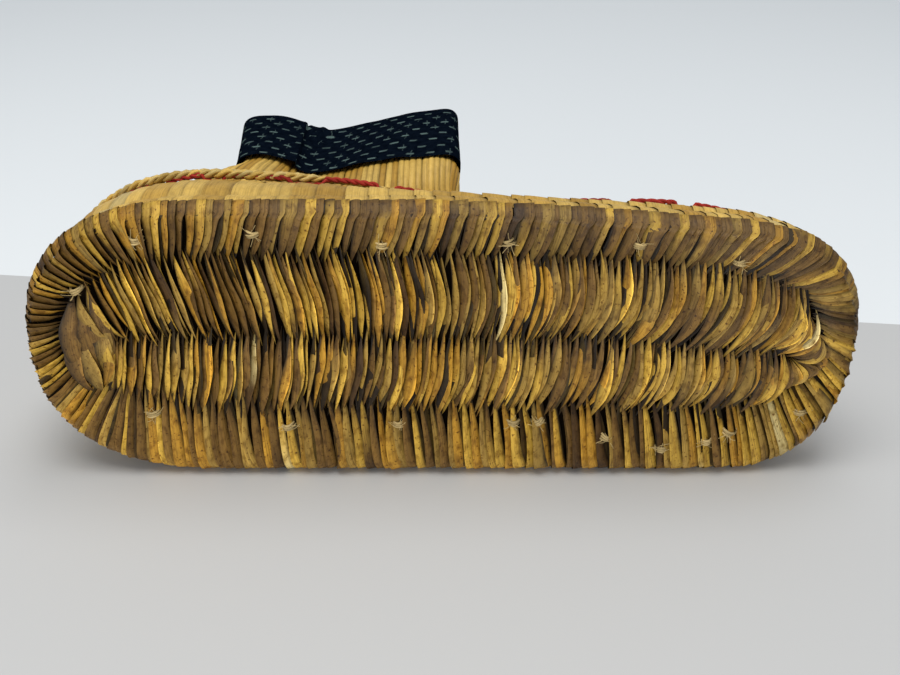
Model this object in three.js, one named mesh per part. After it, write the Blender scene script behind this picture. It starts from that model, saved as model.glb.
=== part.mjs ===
// A straw snow boot for the right foot, lying on its side as it is put away: sole towards -Y, collar
// towards +Y, heel at -X, toe at +X. It rests on the floor, z = 0, with the inner edge of its sole
// and the side of its collar.
//
// The boot is worked out in its own directions: "along" from heel to toe, "across" from the inner
// side of the foot to the outer, and "up" from the tread to the collar. place() lays it on its side.
// The wall of foot and leg is one smooth surface of closed rings, from the seat on the sole to the
// collar, and each solid is cut from it.
import * as THREE from "three";

// Driving dimensions, in millimetres.
const soleLength = 290;
const soleWidth = 106;
const soleThickness = 13;
const edgeInset = 3.5;
const treadDepth = 2.6;
const ribDepth = 1.3;
const toeSpring = 3;
const insoleThickness = 5;
const wallThickness = 4.5;
const legThickness = 4;
const stripDepth = 0.6;
const heelRimHeight = 56;
const sideRimHeight = 48;
const rimInset = 13;
const heelInset = 16;
const instepHeight = 68;
const throatFront = 8;
const bootHeight = 131;
const collarRise = 4;
const collarRear = 63;
const collarFront = 5;
const collarSide = 40;
const bandHeight = 46;
const bandThickness = 1.2;
const braidWidth = 6.5;
const braidThickness = 4;
const dentDepth = 8;
const dentRear = 11;
const dentFront = 28;
const clearance = 0.3;

// The outer side of the forefoot runs in towards the toe, and the inner side stays straight.
const outerTaper = 0.165;
// Where the rings are widest, and where the foot's waist, its taper and the dent in the leg lie, as
// shares of half the length.
const widestAt = -0.35;
const waistAt = 0.1;
const waistReach = 0.36;
const taperStart = -0.07;
const taperEnd = 0.78;
const dentAt = -0.35;
const springStart = 0.5;

const halfLength = soleLength / 2;
const halfWidth = soleWidth / 2;
const seatHeight = soleThickness + clearance;
const bandOver = clearance + bandThickness;
const shaftTop = bootHeight - collarRise - bandOver;
// How far the sole's edge and the collar would bulge past the floor if it didn't press them flat.
const floorPress = 0.7;
const collarPress = 2;

const smooth = (x) => {
  const t = THREE.MathUtils.clamp(x, 0, 1);
  return t * t * (3 - 2 * t);
};
const mix = THREE.MathUtils.lerp;

// The boot's own directions into the part's frame, with the forms that the whole boot shares.
function place(along, across, up, offFloor = 0) {
  const spring = toeSpring * smooth((along / halfLength - springStart) / (1 - springStart)) ** 1.5;
  const forward = (along / halfLength - taperStart) / (taperEnd - taperStart);
  const narrowing = outerTaper * THREE.MathUtils.clamp(forward, 0, 1) ** 1.6;
  const taper = across > 0 ? 1 - narrowing : 1;
  const side = Math.max(across * taper, offFloor - halfWidth);
  return new THREE.Vector3(along, up + spring - bootHeight / 2, side + halfWidth);
}

// A quarter of an outline, halfLong by halfAcross, at a share of its own arc from the end to the
// widest place: a rounded end, round long, and then a straight side.
function quarter(halfLong, halfAcross, round, power, share) {
  const steps = 48;
  const points = [];
  const lengths = [0];
  const end = Math.min(round, halfLong);
  for (let i = 0; i <= steps + 1; i++) {
    const angle = Math.min(i / steps, 1) * (Math.PI / 2);
    const x = i > steps ? 0 : halfLong - end + end * Math.max(Math.cos(angle), 0) ** (2 / power);
    const y = halfAcross * Math.sin(angle) ** (2 / power);
    points.push([x, y]);
    if (i > 0) lengths.push(lengths[i - 1] + Math.hypot(x - points[i - 1][0], y - points[i - 1][1]));
  }
  const wanted = share * lengths[steps + 1];
  let i = 1;
  while (i < steps + 1 && lengths[i] < wanted) i++;
  const part = (wanted - lengths[i - 1]) / Math.max(lengths[i] - lengths[i - 1], 1e-9);
  return [mix(points[i - 1][0], points[i][0], part), mix(points[i - 1][1], points[i][1], part)];
}

// A point of a ring. turn runs from 0 at the toe by the outer side, 1, and the heel, 2, to the inner
// side, 3. The ring: rear and front ends, outer and inner half width, height behind, beside and in
// front, how long its rounded ends are, and the power that makes their corners crisp. reach says how
// soon it comes to its front height.
function ringPoint(ring, turn) {
  const side = Math.floor(turn) % 4;
  const within = turn - Math.floor(turn);
  const inFront = side === 0 || side === 3;
  const onOuter = side < 2;
  const share = side === 0 || side === 2 ? within : 1 - within;
  const halfLong = inFront ? ring.front - ring.middle : ring.middle - ring.rear;
  const halfAcross = onOuter ? ring.outer : ring.inner;
  const round = inFront ? ring.frontRound * (onOuter ? 0.95 : 0.85) : ring.rearRound;
  const power = (inFront ? ring.frontPower : ring.rearPower) + (onOuter ? ring.crisp : 0);
  const [x, y] = quarter(halfLong, halfAcross, round, power, share);
  const along = inFront ? ring.middle + x : ring.middle - x;
  const rise = smooth((x / halfLong) * (inFront ? ring.reach : 1));
  const up = mix(ring.sideUp, inFront ? ring.frontUp : ring.rearUp, rise);
  const waist = ring.pinch * Math.exp(-(((along / halfLength - waistAt) / waistReach) ** 2));
  const beyond = along - dentAt * halfLength;
  const fold = Math.exp(-((beyond / (beyond > 0 ? dentFront : dentRear)) ** 2));
  const dent = onOuter ? ring.dent * dentDepth * fold * smooth(y / ring.outer) : 0;
  const across = y * (1 - waist) - dent;
  return [along, ring.centre + (onOuter ? across : -across), up, ring.offFloor];
}

// Catmull-Rom between the rows of a table, on every named column.
function rowAt(rows, at) {
  const i = Math.min(Math.max(Math.floor(at), 0), rows.length - 2);
  const t = at - i;
  const near = (k) => rows[Math.min(Math.max(k, 0), rows.length - 1)];
  const [a, b, c, d] = [near(i - 1), near(i), near(i + 1), near(i + 2)];
  const out = {};
  for (const key of Object.keys(b)) {
    const slopeB = (c[key] - a[key]) / 2;
    const slopeC = (d[key] - b[key]) / 2;
    const rise = c[key] - b[key];
    const bend = 3 * rise - 2 * slopeB - slopeC;
    const turnBack = slopeB + slopeC - 2 * rise;
    out[key] = b[key] + t * (slopeB + t * (bend + t * turnBack));
  }
  return out;
}

// A table: the names of its columns, and then its rows.
const table = (columns, ...rows) =>
  rows.map((row) => Object.fromEntries(columns.map((column, k) => [column, row[k]])));

// The foot's rings, from the seat on the sole to the throat. rear, side and front say how far the
// ring has moved in from the seat's ring (0) to the throat's (1), and the "Up" columns how far it has
// risen between them.
const footTable = table(
  ["name", "rear", "side", "front", "rearUp", "sideUp", "frontUp", "frontPower", "reach", "pinch"],
  ["seat", 0, 0, 0, 0, 0, 0, 2.4, 2.1, 0],
  ["swell", 0.04, -0.02, 0.006, 0.24, 0.26, 0.1, 2.4, 2.1, 0.01],
  ["wall", 0.18, 0.32, 0.035, 0.58, 0.6, 0.21, 2.4, 2.1, 0.05],
  ["rim", 0.45, 0.78, 0.11, 0.88, 0.94, 0.324, 2.4, 2.1, 0.1],
  ["toe", 0.6, 0.87, 0.25, 0.935, 0.96, 0.46, 2.2, 1.8, 0.11],
  ["vamp", 0.73, 0.93, 0.5, 0.965, 0.97, 0.62, 2.2, 1.4, 0.12],
  ["instep", 0.86, 0.97, 0.76, 0.985, 0.98, 0.8, 2.3, 1.1, 0.12],
  ["throat", 1, 1, 1, 1, 1, 1, 2.5, 1, 0.12],
);
// The leg's rings above the throat, with shares from the throat's ring (0) to the collar's (1).
// Behind, the leg slopes in over the heel before it stands up. rise is 0 at the throat, 1 at the
// cotton band and 2 at the collar.
const legTable = table(
  ["name", "rear", "front", "outer", "inner", "rise", "rearPower", "frontPower", "pinch", "dent", "crisp"],
  ["slope", 0.32, 0.05, 0.2, 0.02, 0.25, 2.5, 2.7, 0.1, 0.4, 0.5],
  ["heel", 0.68, 0.1, 0.4, 0.06, 0.5, 2.8, 3, 0.08, 0.7, 2.5],
  ["ankle", 0.97, 0.2, 0.6, 0.16, 0.75, 3, 3.4, 0.06, 0.9, 6],
  ["band", 1.07, 0.4, 0.8, 0.42, 1, 3, 3.8, 0.04, 1, 9],
  ["tuck", 1.06, 0.6, 0.9, 0.78, 1.33, 3.1, 4, 0.02, 1, 10],
  ["cuff", 1.03, 0.8, 1, 1, 1.67, 3.2, 4.2, 0, 1, 10],
  ["collar", 1, 1, 1, 1, 2, 3.2, 4.4, 0, 1, 10],
);
// How long the rounded ends are, on the sole and the foot, and on the leg, where they are a whole half.
const footRound = { rearRound: 64, frontRound: 50 };
const legRound = { rearRound: halfLength, frontRound: halfLength };

const seat = {
  rear: edgeInset - halfLength,
  front: halfLength - edgeInset,
  outer: halfWidth - edgeInset,
  inner: halfWidth - edgeInset,
};
const throat = {
  rear: edgeInset + heelInset - halfLength,
  front: throatFront,
  outer: halfWidth - rimInset,
  inner: halfWidth - rimInset,
};
const throatUp = { rearUp: heelRimHeight + 5, sideUp: sideRimHeight + 1, frontUp: instepHeight };
const collar = {
  rear: collarRear - halfLength,
  front: collarFront,
  outer: collarSide,
  inner: halfWidth - bandOver + collarPress,
};
const footMiddle = widestAt * halfLength;
const collarMiddle = footMiddle + 12;

function footRing(row) {
  const ring = {
    rear: mix(seat.rear, throat.rear, row.rear),
    front: mix(seat.front, throat.front, row.front),
    outer: mix(seat.outer, throat.outer, row.side),
    inner: mix(seat.inner, throat.inner, row.side),
  };
  for (const key of Object.keys(throatUp)) ring[key] = mix(seatHeight, throatUp[key], row[key]);
  ring.frontRound = mix(footRound.frontRound, 90, smooth(row.front * 3));
  ring.rearRound = footRound.rearRound;
  const plain = { rearPower: 2.4, dent: 0, crisp: 0, centre: 0, offFloor: 0, middle: footMiddle };
  return { ...ring, ...plain, frontPower: row.frontPower, reach: row.reach, pinch: row.pinch };
}
function legRing(row) {
  const ring = { centre: 0, offFloor: bandOver, middle: mix(footMiddle, collarMiddle, row.rise / 2) };
  for (const key of Object.keys(throat)) ring[key] = mix(throat[key], collar[key], row[key]);
  const top = { rearUp: shaftTop - collarRise, sideUp: shaftTop, frontUp: shaftTop + collarRise };
  for (const key of Object.keys(top)) {
    const bandEdge = top[key] + bandOver - bandHeight;
    const belowBand = mix(throatUp[key], bandEdge, row.rise);
    ring[key] = row.rise < 1 ? belowBand : mix(bandEdge, top[key], row.rise - 1);
  }
  for (const key of ["rearPower", "frontPower", "crisp", "pinch", "dent"]) ring[key] = row[key];
  return { ...ring, ...legRound, reach: 1 };
}
const wallRings = [...footTable.map(footRing), ...legTable.map(legRing)];
const throatRow = footTable.length - 1;
const rimRow = footTable.findIndex((row) => row.name === "rim");
const collarRow = wallRings.length - 1;
const legRow = (name) => throatRow + 1 + legTable.findIndex((row) => row.name === name);

// The wall's outer surface at a row and a turn, with the directions out of it and up along it. The
// directions are taken over almost a whole row each way, so that the inner skin runs evenly behind
// the sharp bend at the rim.
function wall(row, turn) {
  const point = (r, t) => {
    const ring = rowAt(wallRings, THREE.MathUtils.clamp(r, 0, collarRow));
    return place(...ringPoint(ring, (t + 4) % 4));
  };
  const reach = 0.9;
  const step = 0.03;
  const at = point(row, turn);
  const around = point(row, turn + step).sub(point(row, turn - step));
  const upward = point(row + reach, turn).sub(point(row - reach, turn)).normalize();
  const out = upward.clone().cross(around).normalize();
  return { at, out, upward };
}

// Turns round the boot: more of them in the long front quarters than behind.
function turns(frontCount, rearCount) {
  const list = [];
  [frontCount, rearCount, rearCount, frontCount].forEach((count, side) => {
    for (let i = 0; i < count; i++) list.push(side + i / count);
  });
  return list;
}
const wallTurns = turns(22, 14);
const soleTurns = turns(44, 28);

// A closed band of rows of points round the boot: a tube if it closes on itself, and otherwise shut at
// both ends by strips from one side to the other. Each four corners are split along the shorter
// diagonal, so that two faces that lie side by side are split alike.
function solid(name, rows, closes, material) {
  const count = rows[0].length;
  const vertices = rows.flat();
  const faces = [];
  const apart = (a, b) => vertices[a].distanceTo(vertices[b]);
  const quad = (a, b, c, d) => {
    if (apart(a, c) < apart(b, d)) faces.push([a, c, b], [a, d, c]);
    else faces.push([a, d, b], [b, d, c]);
  };
  const last = closes ? rows.length : rows.length - 1;
  for (let r = 0; r < last; r++) {
    const next = (r + 1) % rows.length;
    for (let i = 0; i < count; i++) {
      const j = (i + 1) % count;
      quad(r * count + i, r * count + j, next * count + j, next * count + i);
    }
  }
  if (!closes) {
    const top = (rows.length - 1) * count;
    for (let i = 0; i < count / 2; i++) {
      const [a, b, c, d] = [i, i + 1, count - i - 1, (count - i) % count];
      const face = (start, corners) => {
        const kept = [...new Set(corners)].map((corner) => start + corner);
        for (let k = 2; k < kept.length; k++) faces.push([kept[0], kept[k - 1], kept[k]]);
      };
      face(0, [a, b, c, d]);
      face(top, [a, d, c, b]);
    }
  }
  const geometry = new THREE.BufferGeometry();
  const positions = faces.flatMap((face) => face.flatMap((k) => vertices[k].toArray()));
  geometry.setAttribute("position", new THREE.Float32BufferAttribute(positions, 3));
  geometry.computeVertexNormals();
  const mesh = new THREE.Mesh(geometry, material);
  mesh.name = name;
  return mesh;
}

const straw = new THREE.MeshStandardMaterial({ color: 0xc9a86a, roughness: 0.7, metalness: 0 });
const leaf = new THREE.MeshStandardMaterial({ color: 0x8a6a35, roughness: 0.65, metalness: 0 });
const braidStraw = new THREE.MeshStandardMaterial({ color: 0xcdaa6c, roughness: 0.7, metalness: 0 });
const cotton = new THREE.MeshStandardMaterial({ color: 0x10151f, roughness: 0.9, metalness: 0 });

// The sole: a mat woven of folded leaves over lengthwise cords. Two bands run along the middle, and
// one goes all round the edge. Each row is a ring of the mat, from the middle cord out over the
// tread, round the edge and back over the top. rear, front and wide are insets from the outline,
// sink says how deep the row lies in the tread, and rib how much the bundles of leaves stand up.
const innerCord = { rear: 28, front: 24, wide: 51, centre: 1 };
const outerCord = { rear: 12, front: 16, wide: 24, centre: 4 };
const edgeCord = { rear: 0, front: 0, wide: 0, centre: 0 };
const treadTable = [
  { from: innerCord, to: outerCord, share: 0, sink: 1, rib: 0 },
  { from: innerCord, to: outerCord, share: 0.3, sink: 0, rib: 1 },
  { from: innerCord, to: outerCord, share: 0.72, sink: 0, rib: 1 },
  { from: innerCord, to: outerCord, share: 1, sink: 0.9, rib: 0 },
  { from: outerCord, to: edgeCord, share: 0.35, sink: 0, rib: -1 },
  { from: outerCord, to: edgeCord, share: 0.72, sink: 0, rib: -1 },
];
const edgeTable = [
  { out: 0.6, up: 0.17 },
  { out: 1, up: 0.42 },
  { out: 1, up: 0.7 },
  { out: 0.5, up: 0.93 },
];
const soleShape = {
  rearPower: 2.4,
  frontPower: 2.4,
  reach: 1,
  pinch: 0,
  dent: 0,
  crisp: 0,
  offFloor: 0,
};
function soleRing(inset, up) {
  return {
    ...soleShape,
    ...footRound,
    rear: inset.rear - halfLength,
    front: halfLength - inset.front,
    outer: halfWidth - inset.wide,
    inner: halfWidth - inset.wide,
    middle: footMiddle,
    centre: inset.centre,
    rearUp: up,
    sideUp: up,
    frontUp: up,
  };
}
const evenly = (inset) => ({ rear: inset, front: inset, wide: inset, centre: 0 });
function makeSole() {
  const bundle = 3;
  const raised = (i, rib) => ((i + (rib > 0 ? 0 : 1)) % bundle === 0 ? 0 : 1);
  const tread = treadTable.map(({ from, to, share, sink, rib }) => {
    const inset = {};
    for (const key of Object.keys(from)) inset[key] = mix(from[key], to[key], share);
    return soleTurns.map((turn, i) => {
      const up = sink * treadDepth + (1 - raised(i, rib)) * ribDepth * Math.abs(rib);
      return place(...ringPoint(soleRing(inset, up), turn));
    });
  });
  const edge = edgeTable.map(({ out, up }) =>
    soleTurns.map((turn, i) => {
      const inset = (1 - out) * edgeInset + ((1 - raised(i, -1)) * ribDepth) / 2;
      const ring = soleRing(evenly(inset), up * soleThickness);
      if (out === 1) ring.inner += floorPress;
      return place(...ringPoint(ring, turn));
    }),
  );
  const top = [edgeInset + clearance, edgeInset + wallThickness * 2].map((inset) =>
    soleTurns.map((turn) => place(...ringPoint(soleRing(evenly(inset), soleThickness), turn))),
  );
  return solid("sole", [...tread, ...edge, ...top], false, leaf);
}

// The insole: a flat mat that fills the seat, inside the wall.
function makeInsole() {
  const layer = (row, inset, up) =>
    wallTurns.map((turn) => {
      const { at, out } = wall(row, turn);
      const level = at.addScaledVector(out.setY(0).normalize(), -wallThickness - inset);
      return level.setY(place(level.x, 0, up).y);
    });
  const top = seatHeight + insoleThickness;
  const crown = insoleThickness * 0.3;
  const gap = clearance + 0.7;
  const topRow = 0.55;
  const rows = [
    layer(0, gap, seatHeight),
    layer(topRow, gap, top - crown),
    layer(topRow, gap + crown, top),
  ];
  return solid("insole", rows, false, straw);
}

// A shell of the wall between two rows: its outer skin up, and its inner skin, a thickness inside,
// down again. Where two shells meet, both ends are cut along the same line, with the gap between
// them. The strips of straw that the wall is made of stand up outside.
function makeShell(name, fromRow, toRow, steps, thickness, material) {
  const outer = Array.from({ length: steps + 1 }, () => []);
  const inner = Array.from({ length: steps + 1 }, () => []);
  wallTurns.forEach((turn, i) => {
    for (let k = 0; k <= steps; k++) {
      const row = mix(fromRow, toRow, k / steps);
      const { at, out, upward } = wall(row, turn);
      if (k === 0 && fromRow > 0) at.addScaledVector(upward, clearance * 0.75);
      if (k === steps && toRow < collarRow) at.addScaledVector(upward, -clearance * 0.75);
      // The seat's edge is level, so that it stands flat on the sole.
      if (k === 0 && fromRow === 0) out.setY(0).normalize();
      outer[k].push(at);
      inner[k].push(at.clone().addScaledVector(out, -thickness));
      if (i % 2 && k > 0 && k < steps) at.addScaledVector(out, -stripDepth);
    }
  });
  return solid(name, [...outer, ...inner.reverse()], true, material);
}

// The cotton band: it covers the top of the leg outside, folds over the edge and is tucked down inside.
function makeBand() {
  const layer = (fromRow, toRow, off, lift) => {
    const down = Math.sign(toRow - fromRow);
    const count = Math.abs(toRow - fromRow) + 1;
    const rows = Array.from({ length: count }, (_, k) => fromRow + k * down);
    return rows.map((row) =>
      wallTurns.map((turn) => {
        const { at, out, upward } = wall(row, turn);
        return at.addScaledVector(out, off).addScaledVector(upward, row === collarRow ? lift : 0);
      }),
    );
  };
  const [edge, tuck] = [legRow("band"), legRow("tuck")];
  const rows = [
    ...layer(edge, collarRow, bandOver, bandOver),
    ...layer(collarRow, tuck, -legThickness - bandOver, bandOver),
    ...layer(tuck, collarRow, -legThickness - clearance, clearance),
    ...layer(collarRow, edge, clearance, clearance),
  ];
  return solid("collar_band", rows, true, cotton);
}

// The braid of straw and yarn that lies round the top of the side wall, on the foot's own surface.
function makeBraid() {
  const sides = 6;
  const rows = Array.from({ length: sides }, () => []);
  wallTurns.forEach((turn, i) => {
    const { at, out, upward } = wall(rimRow, turn);
    const thick = braidThickness * (i % 2 ? 0.82 : 1);
    for (let k = 0; k < sides; k++) {
      const angle = (k / sides) * 2 * Math.PI;
      const off = clearance * 2.8 + braidThickness * 0.55 + (thick / 2) * Math.cos(angle);
      const slide = (braidWidth / 2) * Math.sin(angle);
      rows[k].push(at.clone().addScaledVector(out, off).addScaledVector(upward, slide));
    }
  });
  return solid("rim_braid", rows, true, braidStraw);
}

const boot = new THREE.Group();
boot.add(makeSole());
boot.add(makeInsole());
boot.add(makeShell("upper", 0, throatRow, 8, wallThickness, straw));
boot.add(makeShell("shaft", throatRow, collarRow, 7, legThickness, straw));
boot.add(makeBand());
boot.add(makeBraid());

export default boot;
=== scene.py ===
# A straw snow boot for the right foot, lying on its side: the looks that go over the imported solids.
# Lengths are in millimetres until a mesh is made. In the solids' own frame +X is heel to toe, +Y tread to
# collar and +Z up from the floor. The boot's own directions are along (u), across (v) and up off the tread (h).
import math

import bpy
import numpy as np
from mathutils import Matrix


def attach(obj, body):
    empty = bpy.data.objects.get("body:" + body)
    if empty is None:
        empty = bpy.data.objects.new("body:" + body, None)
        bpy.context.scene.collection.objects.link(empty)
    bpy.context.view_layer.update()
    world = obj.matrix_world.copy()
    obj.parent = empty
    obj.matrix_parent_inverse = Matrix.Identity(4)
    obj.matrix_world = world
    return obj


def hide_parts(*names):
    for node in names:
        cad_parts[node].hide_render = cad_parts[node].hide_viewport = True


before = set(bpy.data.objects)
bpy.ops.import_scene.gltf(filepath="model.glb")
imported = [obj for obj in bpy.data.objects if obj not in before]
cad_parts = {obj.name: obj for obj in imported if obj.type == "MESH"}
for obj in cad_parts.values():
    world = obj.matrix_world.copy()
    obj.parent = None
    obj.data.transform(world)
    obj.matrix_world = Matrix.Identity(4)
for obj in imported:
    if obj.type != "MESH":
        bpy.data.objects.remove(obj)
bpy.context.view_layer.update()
rng = np.random.default_rng(7)

# The boot's sizes, as in its solids.
SOLE_LENGTH = 290
SOLE_WIDTH = 106
SOLE_THICKNESS = 13
EDGE_INSET = 3.5
TOE_SPRING = 3
LEG_WALL = 4
HEEL_RIM = 56
SIDE_RIM = 48
RIM_INSET = 13
HEEL_INSET = 16
INSTEP = 68
THROAT_FRONT = 8
BOOT_HEIGHT = 131
COLLAR_RISE = 4
COLLAR_REAR = 63
COLLAR_FRONT = 5
COLLAR_SIDE = 40
BAND_HEIGHT = 46
BAND_THICKNESS = 1.2
DENT_DEPTH = 8
DENT_REAR = 11
DENT_FRONT = 28
CLEARANCE = 0.3
COLLAR_PRESS = 2
HALF_L = SOLE_LENGTH / 2
HALF_W = SOLE_WIDTH / 2
SEAT = SOLE_THICKNESS + CLEARANCE
BAND_OVER = CLEARANCE + BAND_THICKNESS
SHAFT_TOP = BOOT_HEIGHT - COLLAR_RISE - BAND_OVER
MIDDLE = -0.35 * HALF_L
# The lowest points of the looks lie this far above the floor.
FLOOR_GAP = 0.05


def smooth(x):
    t = np.clip(x, 0, 1)
    return t * t * (3 - 2 * t)


def mix(a, b, t):
    return a + (b - a) * t


def run_along(points):
    """How far along a line each of its points is."""
    return np.concatenate([[0], np.cumsum(np.linalg.norm(np.diff(points, axis=0), axis=1))])


def table(columns, *rows):
    return [dict(zip(columns.split(), row)) for row in rows]


def look_up(rows, u, key):
    """A table's value at a place along the boot."""
    return np.interp(u, [row["u"] for row in rows], [row[key] for row in rows])


def place(u, v, h, off_floor=0.0):
    """The boot's own directions into the solids' frame, as in the solids."""
    spring = TOE_SPRING * smooth((u / HALF_L - 0.5) / 0.5) ** 1.5
    forward = np.clip((u / HALF_L + 0.07) / 0.85, 0, 1)
    taper = np.where(v > 0, 1 - 0.165 * forward**1.6, 1.0)
    side = np.maximum(v * taper, off_floor - HALF_W)
    return np.stack(np.broadcast_arrays(u, h + spring - BOOT_HEIGHT / 2, side + HALF_W), -1)


def place_flat(flat, h):
    return place(flat[:, 0], flat[:, 1], h)


def quarter(half_long, half_across, round_end, power, share):
    angle = np.linspace(0, np.pi / 2, 65)
    end = min(round_end, half_long)
    x = half_long - end + end * np.maximum(np.cos(angle), 0) ** (2 / power)
    y = half_across * np.sin(angle) ** (2 / power)
    x = np.append(x, 0)
    y = np.append(y, half_across)
    run = np.concatenate([[0], np.cumsum(np.hypot(np.diff(x), np.diff(y)))])
    return np.interp(share * run[-1], run, x), np.interp(share * run[-1], run, y)


def ring_points(ring, turn):
    """Points of a closed ring: turn 0 is the toe, 1 the outer side, 2 the heel and 3 the inner side."""
    turn = np.mod(turn, 4)
    side = np.minimum(turn.astype(int), 3)
    within = turn - side
    out = np.zeros((len(turn), 3))
    for q in range(4):
        chosen = side == q
        front, outer = q in (0, 3), q < 2
        share = within[chosen] if q in (0, 2) else 1 - within[chosen]
        half_long = ring["front"] - ring["middle"] if front else ring["middle"] - ring["rear"]
        half_across = ring["outer"] if outer else ring["inner"]
        rounding = ring["frontRound"] * (0.95 if outer else 0.85) if front else ring["rearRound"]
        power = (ring["frontPower"] if front else ring["rearPower"]) + (ring["crisp"] if outer else 0)
        x, y = quarter(half_long, half_across, rounding, power, share)
        u = ring["middle"] + (x if front else -x)
        rise = smooth(x / half_long * (ring["reach"] if front else 1))
        h = mix(ring["sideUp"], ring["frontUp"] if front else ring["rearUp"], rise)
        waist = ring["pinch"] * np.exp(-(((u / HALF_L - 0.1) / 0.36) ** 2))
        beyond = u - MIDDLE
        fold = np.exp(-((beyond / np.where(beyond > 0, DENT_FRONT, DENT_REAR)) ** 2))
        dent = ring["dent"] * DENT_DEPTH * fold * smooth(y / ring["outer"]) if outer else 0
        across = y * (1 - waist) - dent
        out[chosen] = np.stack([u, ring["centre"] + (across if outer else -across), h], -1)
    return out


# The wall's rings, from the seat on the sole to the throat, and from there to the collar, as in the solids.
FOOT_COLUMNS = "rear side front rearUp sideUp frontUp frontPower reach pinch".split()
FOOT_ROWS = {
    "seat": (0, 0, 0, 0, 0, 0, 2.4, 2.1, 0),
    "swell": (0.04, -0.02, 0.006, 0.24, 0.26, 0.1, 2.4, 2.1, 0.01),
    "wall": (0.18, 0.32, 0.035, 0.58, 0.6, 0.21, 2.4, 2.1, 0.05),
    "rim": (0.45, 0.78, 0.11, 0.88, 0.94, 0.324, 2.4, 2.1, 0.1),
    "toe": (0.6, 0.87, 0.25, 0.935, 0.96, 0.46, 2.2, 1.8, 0.11),
    "vamp": (0.73, 0.93, 0.5, 0.965, 0.97, 0.62, 2.2, 1.4, 0.12),
    "instep": (0.86, 0.97, 0.76, 0.985, 0.98, 0.8, 2.3, 1.1, 0.12),
    "throat": (1, 1, 1, 1, 1, 1, 2.5, 1, 0.12),
}
LEG_COLUMNS = "rear front outer inner rise rearPower frontPower pinch dent crisp".split()
LEG_ROWS = {
    "slope": (0.32, 0.05, 0.2, 0.02, 0.25, 2.5, 2.7, 0.1, 0.4, 0.5),
    "heel": (0.68, 0.1, 0.4, 0.06, 0.5, 2.8, 3, 0.08, 0.7, 2.5),
    "ankle": (0.97, 0.2, 0.6, 0.16, 0.75, 3, 3.4, 0.06, 0.9, 6),
    "band": (1.07, 0.4, 0.8, 0.42, 1, 3, 3.8, 0.04, 1, 9),
    "tuck": (1.06, 0.6, 0.9, 0.78, 1.33, 3.1, 4, 0.02, 1, 10),
    "cuff": (1.03, 0.8, 1, 1, 1.67, 3.2, 4.2, 0, 1, 10),
    "collar": (1, 1, 1, 1, 2, 3.2, 4.4, 0, 1, 10),
}
SEAT_RING = {"rear": EDGE_INSET - HALF_L, "front": HALF_L - EDGE_INSET, "side": HALF_W - EDGE_INSET}
THROAT_RING = {"rear": EDGE_INSET + HEEL_INSET - HALF_L, "front": THROAT_FRONT, "side": HALF_W - RIM_INSET}
THROAT_UP = {"rearUp": HEEL_RIM + 5, "sideUp": SIDE_RIM + 1, "frontUp": INSTEP}
COLLAR_RING = {
    "rear": COLLAR_REAR - HALF_L,
    "front": COLLAR_FRONT,
    "outer": COLLAR_SIDE,
    "inner": HALF_W - BAND_OVER + COLLAR_PRESS,
}

# A plain ring, flat on the tread, which the foot's rings and the sole's cords change in part
PLAIN_RING = dict(
    rearRound=64, frontRound=50, rearPower=2.4, frontPower=2.4, reach=1, pinch=0, dent=0, crisp=0,
    rearUp=0, sideUp=0, frontUp=0, centre=0, off=0, middle=MIDDLE,
)


def foot_ring(values):
    row = dict(zip(FOOT_COLUMNS, values))
    ring = {key: mix(SEAT_RING[key], THROAT_RING[key], row[key]) for key in ("rear", "front")}
    ring["outer"] = ring["inner"] = mix(SEAT_RING["side"], THROAT_RING["side"], row["side"])
    for key in THROAT_UP:
        ring[key] = mix(SEAT, THROAT_UP[key], row[key])
    ring["frontRound"] = mix(50, 90, smooth(row["front"] * 3))
    return {**PLAIN_RING, **ring, **{key: row[key] for key in ("frontPower", "reach", "pinch")}}


def leg_ring(values):
    row = dict(zip(LEG_COLUMNS, values))
    ring = {"middle": mix(MIDDLE, MIDDLE + 12, row["rise"] / 2), "centre": 0, "off": BAND_OVER, "reach": 1}
    for key in ("rear", "front", "outer", "inner"):
        ring[key] = mix(THROAT_RING.get(key, THROAT_RING["side"]), COLLAR_RING[key], row[key])
    top = {"rearUp": SHAFT_TOP - COLLAR_RISE, "sideUp": SHAFT_TOP, "frontUp": SHAFT_TOP + COLLAR_RISE}
    for key, height in top.items():
        edge = height + BAND_OVER - BAND_HEIGHT
        low = row["rise"] < 1
        ring[key] = mix(THROAT_UP[key], edge, row["rise"]) if low else mix(edge, height, row["rise"] - 1)
    for key in ("rearPower", "frontPower", "crisp", "pinch", "dent"):
        ring[key] = row[key]
    return {**ring, "rearRound": HALF_L, "frontRound": HALF_L}


RINGS = [foot_ring(row) for row in FOOT_ROWS.values()] + [leg_ring(row) for row in LEG_ROWS.values()]
NAMES = list(FOOT_ROWS) + list(LEG_ROWS)
RIM, THROAT, BAND, TUCK, COLLAR = (NAMES.index(n) for n in ("rim", "throat", "band", "tuck", "collar"))
RING_KEYS = list(RINGS[0])
RING_TABLE = np.array([[ring[key] for key in RING_KEYS] for ring in RINGS])


def ring_at(at):
    """Catmull-Rom between the rings."""
    i = int(np.clip(math.floor(at), 0, len(RINGS) - 2))
    t = at - i
    near = [RING_TABLE[min(max(k, 0), len(RINGS) - 1)] for k in (i - 1, i, i + 1, i + 2)]
    slope_b = (near[2] - near[0]) / 2
    slope_c = (near[3] - near[1]) / 2
    rise = near[2] - near[1]
    bend = 3 * rise - 2 * slope_b - slope_c
    value = near[1] + t * (slope_b + t * (bend + t * (slope_b + slope_c - 2 * rise)))
    return dict(zip(RING_KEYS, value))


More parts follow.
